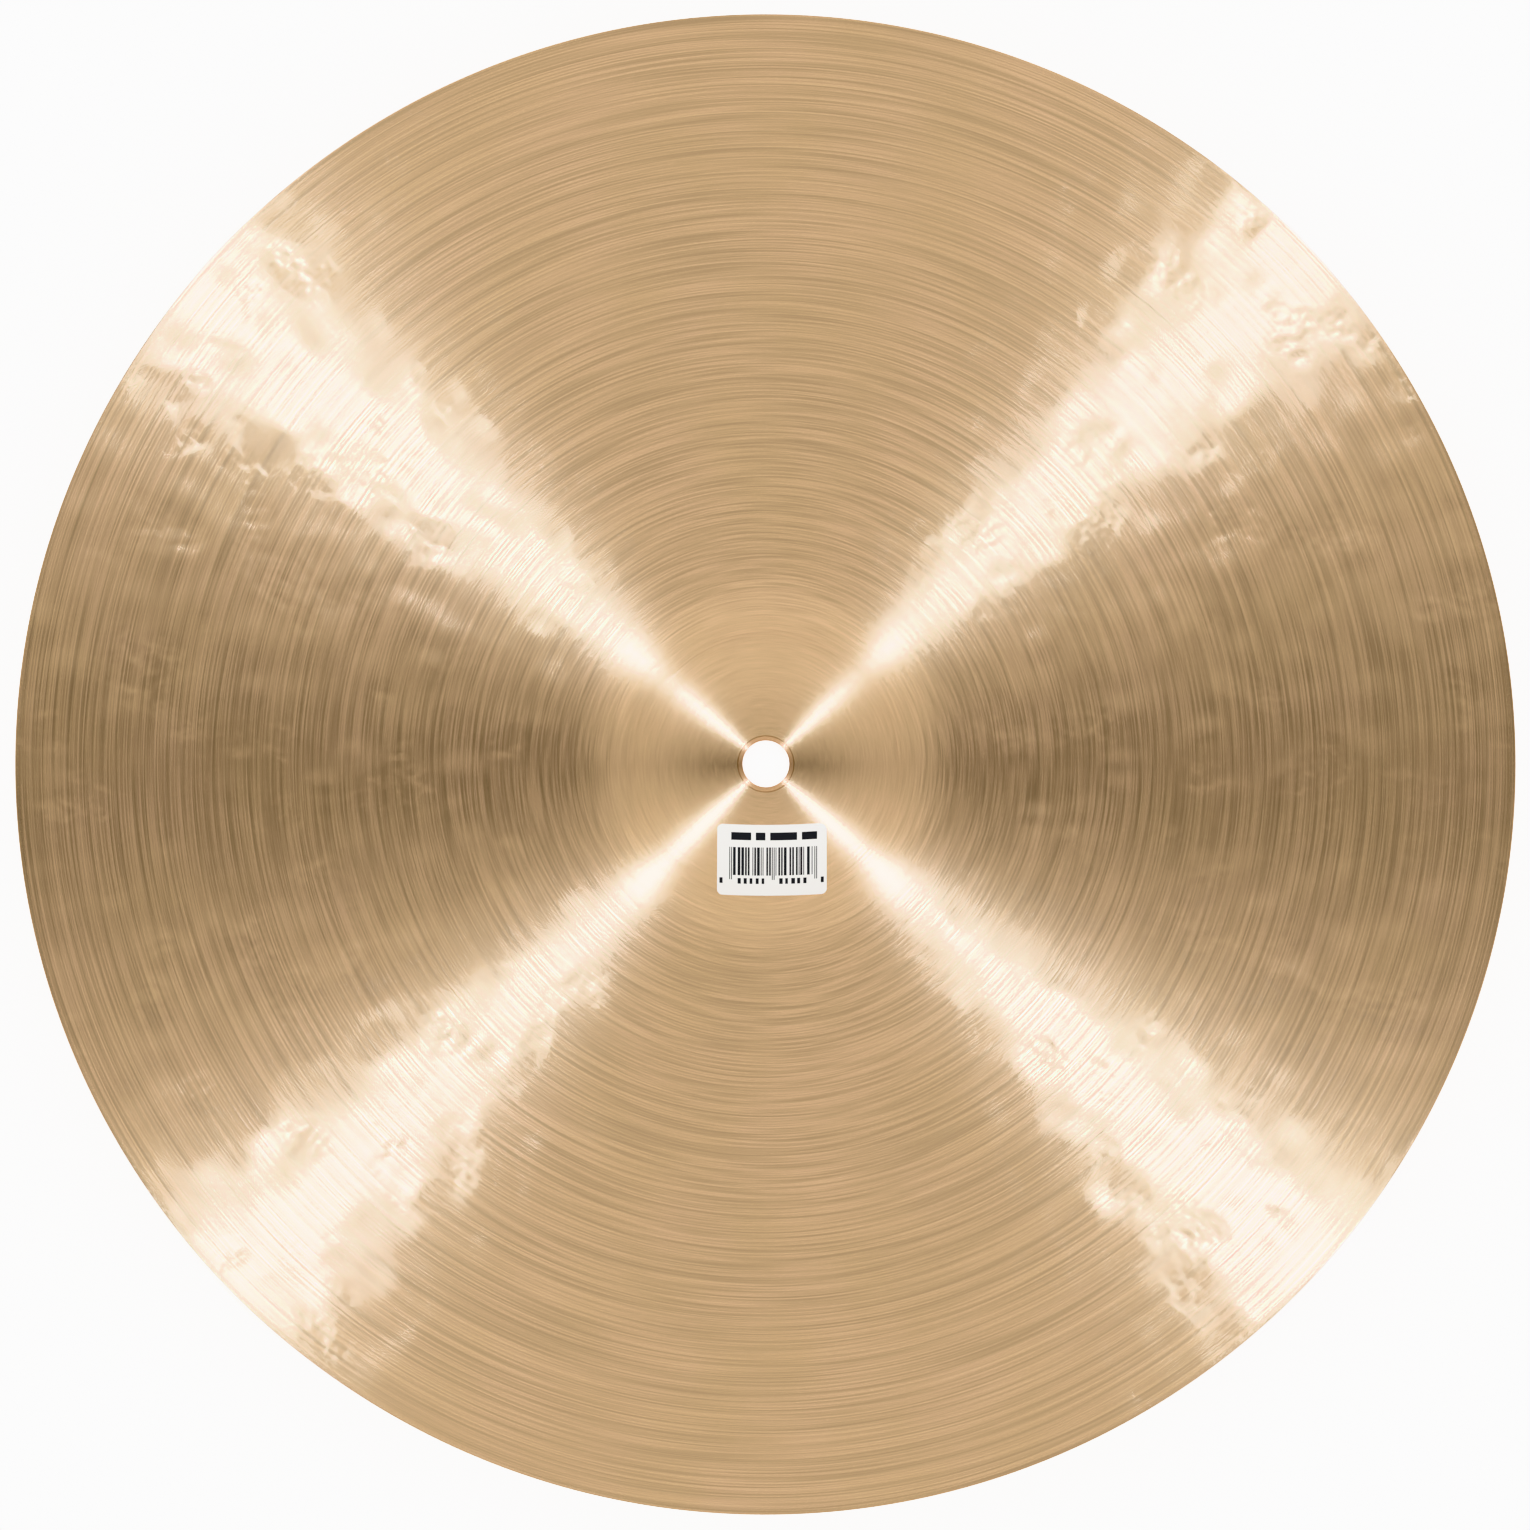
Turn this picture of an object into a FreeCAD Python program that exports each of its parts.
# Pair of 16 inch orchestral hand cymbals, without their straps, put away as a pair is:
# bells down, one nested in the other, on one vertical axis.
#
# Each cymbal is one piece of cast and hammered bell bronze, lathed to a taper: a domed bell
# in the middle with the strap hole through its crown, a wide bow that rises more and more
# steeply from the bell, and a thin rounded rim. A paper label is stuck inside the bell of
# the cymbal on top.
#
# Frame, in millimetres: +Z is up and is the cymbals' own axis, and the origin is on that
# axis at the height of the surface the lower cymbal's crown rests on. The hollow inner
# faces look up. The label is towards -Y, and its top edge is the one nearest the hole.
import FreeCAD, Part

import math
import os

# Driving dimensions
DIAMETER = 406.4            # 16 in, the size hand cymbals are sold by
HOLE_DIAMETER = 12.7        # 1/2 in strap hole
HOLE_EDGE_BREAK = 0.25      # chamfer on both edges of the hole

BELL_RADIUS = 78.0          # outer face of the bell, a part of a sphere
BELL_MAX_SLOPE = 28.5       # degrees, where the bell is steepest and starts to flare
FLARE_RADIUS = 43.5         # outer face of the flare between bell and bow
BOW_START_SLOPE = 4.0       # degrees, where the flare runs out into the bow
BOW_RADIUS = 1050.0         # outer face of the bow, in section

BELL_THICKNESS = 1.4        # bell and flare
RIM_THICKNESS = 0.9         # the bow tapers from BELL_THICKNESS to this

NEST_CLEARANCE = 0.3        # left between the two bells, square to their walls

LABEL_WIDTH = 30.0
LABEL_HEIGHT = 20.5
LABEL_THICKNESS = 0.1
LABEL_CORNER_RADIUS = 1.5
LABEL_FROM_AXIS = 26.6      # level distance from the axis to the label's middle, along -Y
LABEL_OFFSET_X = 1.7        # the label sits a little to the right of the hole

STEEPEST = math.radians(BELL_MAX_SLOPE)
BOW_START = math.radians(BOW_START_SLOPE)
HOLE_RADIUS = HOLE_DIAMETER / 2

# The crown's apex is cut away by the hole, so the cymbal rests on the hole's outer edge.
REST_RADIUS = HOLE_RADIUS + HOLE_EDGE_BREAK
APEX_DROP = BELL_RADIUS - math.sqrt(BELL_RADIUS ** 2 - REST_RADIUS ** 2)
NEST_STEP = (BELL_THICKNESS + NEST_CLEARANCE) / math.cos(STEEPEST)


def point(radius, height):
    """A point of the section, in the XZ plane."""
    return FreeCAD.Vector(radius, 0, height)


def arc(centre, radius, start, end):
    """The arc of a section round centre, between two angles measured from straight down."""
    def at(angle):
        return centre + point(radius * math.sin(angle), -radius * math.cos(angle))
    return Part.Arc(at(start), at((start + end) / 2), at(end)).toShape()


def line(a, b):
    return Part.LineSegment(a, b).toShape()


def outward(slope):
    """The direction up and inwards, square to an outer face that climbs at slope."""
    return point(-math.sin(slope), math.cos(slope))


def cymbal():
    """One cymbal with its crown's apex at the origin, as a solid turned from its section."""
    bell_centre = point(0, BELL_RADIUS)
    flare_start = bell_centre + outward(STEEPEST) * -BELL_RADIUS
    flare_centre = flare_start + outward(STEEPEST) * -FLARE_RADIUS
    bow_start = flare_centre + outward(BOW_START) * FLARE_RADIUS
    bow_centre = bow_start + outward(BOW_START) * BOW_RADIUS
    # The rim is a half round of RIM_THICKNESS whose furthest point is at half the diameter.
    rim_radius = RIM_THICKNESS / 2
    rim_slope = math.asin((DIAMETER / 2 - rim_radius - bow_centre.x)
                          / (BOW_RADIUS - rim_radius))
    half_turn = math.pi

    hole_start = math.asin(REST_RADIUS / BELL_RADIUS)
    outer_bell = arc(bell_centre, BELL_RADIUS, hole_start, STEEPEST)
    outer_flare = arc(flare_centre, FLARE_RADIUS, half_turn + STEEPEST,
                      half_turn + BOW_START)
    outer_bow = arc(bow_centre, BOW_RADIUS, BOW_START, rim_slope)

    # The inner face follows the outer one at BELL_THICKNESS as far as the bow. From there
    # it is one flatter arc that thins the bow down to the rim.
    inner_start = bow_start + outward(BOW_START) * BELL_THICKNESS
    outer_end = bow_centre + outward(rim_slope) * -BOW_RADIUS
    inner_end = outer_end + outward(rim_slope) * RIM_THICKNESS
    chord = inner_end - inner_start
    inner_radius = chord.dot(chord) / (2 * chord.dot(outward(BOW_START)))
    inner_centre = inner_start + outward(BOW_START) * inner_radius
    inner_slope = math.asin((inner_end.x - inner_centre.x) / inner_radius)
    inner_bow = arc(inner_centre, inner_radius, inner_slope, BOW_START)
    inner_flare = arc(flare_centre, FLARE_RADIUS + BELL_THICKNESS,
                      half_turn + BOW_START, half_turn + STEEPEST)
    inner_bell_radius = BELL_RADIUS - BELL_THICKNESS
    inner_bell = arc(bell_centre, inner_bell_radius, STEEPEST,
                     math.asin(REST_RADIUS / inner_bell_radius))
    rim_middle = (outer_end + inner_end) / 2 + point(math.cos(rim_slope),
                                                    math.sin(rim_slope)) * rim_radius
    rim = Part.Arc(outer_end, rim_middle, inner_end).toShape()

    # The hole's wall, with a small chamfer at each edge.
    hole_top = inner_bell.valueAt(inner_bell.LastParameter)
    hole_foot = outer_bell.valueAt(outer_bell.FirstParameter)
    wall_top = point(HOLE_RADIUS, hole_top.z - HOLE_EDGE_BREAK)
    wall_foot = point(HOLE_RADIUS, hole_foot.z + HOLE_EDGE_BREAK)
    section = Part.Wire([outer_bell, outer_flare, outer_bow, rim, inner_bow, inner_flare,
                         inner_bell, line(hole_top, wall_top), line(wall_top, wall_foot),
                         line(wall_foot, hole_foot)])
    turned = Part.Face(section).revolve(FreeCAD.Vector(0, 0, 0), FreeCAD.Vector(0, 0, 1), 360)
    print("rim height", round(rim_middle.z - APEX_DROP, 2),
          "rim slope", round(math.degrees(rim_slope), 2),
          "bell edge radius", round(bow_start.x, 2),
          "bell height", round(bow_start.z, 2),
          "hole wall", round(wall_foot.z, 3), round(wall_top.z, 3))
    return turned


def label():
    """The label on the inner face of the bell, with the bell's apex at the origin."""
    centre = FreeCAD.Vector(0, 0, BELL_RADIUS)
    face_radius = BELL_RADIUS - BELL_THICKNESS
    paper = Part.makeSphere(face_radius, centre).cut(
        Part.makeSphere(face_radius - LABEL_THICKNESS, centre))
    # Cut to its outline at the crown, it is then swung round the bell's centre to its place.
    blank = Part.makeBox(LABEL_WIDTH, LABEL_HEIGHT, BELL_RADIUS,
                         FreeCAD.Vector(LABEL_OFFSET_X - LABEL_WIDTH / 2,
                                        -LABEL_HEIGHT / 2, 0))
    corners = [e for e in blank.Edges if abs(e.BoundBox.ZLength - BELL_RADIUS) < 1e-6]
    outline = blank.makeFillet(LABEL_CORNER_RADIUS, corners)
    paper = paper.common(outline)
    swing = math.degrees(math.asin(LABEL_FROM_AXIS / face_radius))
    paper.rotate(centre, FreeCAD.Vector(1, 0, 0), -swing)
    return paper


def save(shape, name, height):
    """Lifts a shape drawn from the crown's apex to its height and writes it as one node."""
    placed = shape.copy()
    placed.translate(FreeCAD.Vector(0, 0, height - APEX_DROP))
    placed.exportStep("parts/" + name + ".step")
    box = placed.BoundBox
    print(name, "valid", placed.isValid(), "solids", len(placed.Solids),
          "volume", round(placed.Volume, 1), "z", round(box.ZMin, 3), round(box.ZMax, 3),
          "x", round(box.XMin, 2), round(box.XMax, 2))


def main():
    os.makedirs("parts", exist_ok=True)
    bronze = cymbal()
    save(bronze, "lower_cymbal", 0)
    save(bronze, "upper_cymbal", NEST_STEP)
    save(label(), "paper_label", NEST_STEP)


main()
